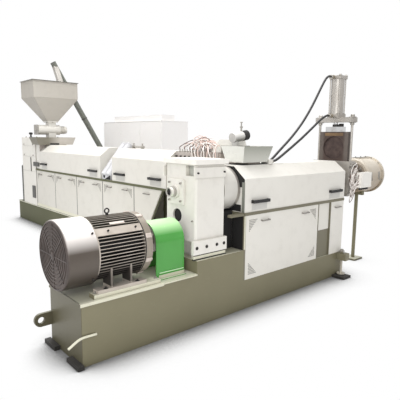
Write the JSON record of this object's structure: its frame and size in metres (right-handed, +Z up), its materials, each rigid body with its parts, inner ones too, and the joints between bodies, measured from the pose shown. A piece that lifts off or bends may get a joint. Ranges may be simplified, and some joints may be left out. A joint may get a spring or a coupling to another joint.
{
  "type": "two-stage plastic extruder",
  "caption": "Two-stage plastic extruder with motor, gearbox, hooded barrels, hopper with feeder and loader, hydraulic screen changer, cutter hood and control cabinet.",
  "frame": {"origin": "on the floor where the two screw axes cross in plan, on the underside of the second stage's base", "axes": "+X along the second screw from the motor to the die, +Y along the first screw towards the hopper, +Z up"},
  "size_m": [4.365, 6.016, 2.8858],
  "materials": {
    "olive_paint": "satin olive-grey paint, lightly scuffed along the edges",
    "white_paint": "warm off-white powder coat, semi-gloss",
    "cabinet_paint": "pale textured powder coat",
    "green_paint": "glossy green enamel",
    "beige_paint": "satin beige paint",
    "motor_paint": "cast iron under brownish metallic grey paint",
    "machined_steel": "machined and heat-stained steel",
    "chromed_rod": "hard-chromed piston rod",
    "slide_steel": "heat-browned tool steel",
    "dark_metal": "dark grey paint",
    "black_plastic": "moulded black nylon",
    "black_rubber": "black rubber hose cover"
  },
  "bodies": {
    "machine": {"second_base": "olive_paint", "second_frame": "olive_paint", "second_panels": "white_paint", "second_cover": "white_paint", "second_barrel": "machined_steel", "second_feed_tray": "white_paint", "levelling_feet": "olive_paint", "lifting_lug": "olive_paint", "motor_frame": "motor_paint", "motor_fan_cowl": "motor_paint", "motor_end_shield": "motor_paint", "motor_lifting_eye": "dark_metal", "coupling_guard": "green_paint", "drive_coupling": "machined_steel", "gearbox_housing": "white_paint", "gearbox_cap": "white_paint", "gearbox_pipe_flange": "white_paint", "thrust_drum": "white_paint", "changer_body": "machined_steel", "changer_yoke": "machined_steel", "hydraulic_cylinder": "machined_steel", "die_head": "machined_steel", "junction_box": "white_paint", "pelletizer_hood": "beige_paint", "pelletizer_stand": "olive_paint", "first_base": "olive_paint", "first_frame": "olive_paint", "first_doors": "white_paint", "far_cover": "white_paint", "near_cover": "white_paint", "first_barrel": "machined_steel", "vent_chute": "white_paint", "vent_pipe": "white_paint", "first_die_head": "machined_steel", "transfer_chute": "white_paint", "first_gearbox": "white_paint", "drive_guard": "dark_metal", "first_feed_tray": "white_paint", "feeder": "white_paint", "hopper": "white_paint", "loader_tube": "dark_metal", "loader_spout": "white_paint", "loader_bin": "white_paint", "cabinet_body": "cabinet_paint", "cabinet_doors": "cabinet_paint", "cover_handles": "black_plastic", "panel_handles": "machined_steel", "hose_bulkhead": "dark_metal", "hose_upper": "black_rubber", "hose_lower": "black_rubber"},
    "slide": {"screen_slide": "slide_steel", "piston_rod": "chromed_rod"}
  },
  "joints": [
    {"name": "screen_slide_travel", "type": "slide", "parent": "machine", "child": "slide", "axis": [0, 0, 1], "range_m": [-0.35, 0]}
  ]
}
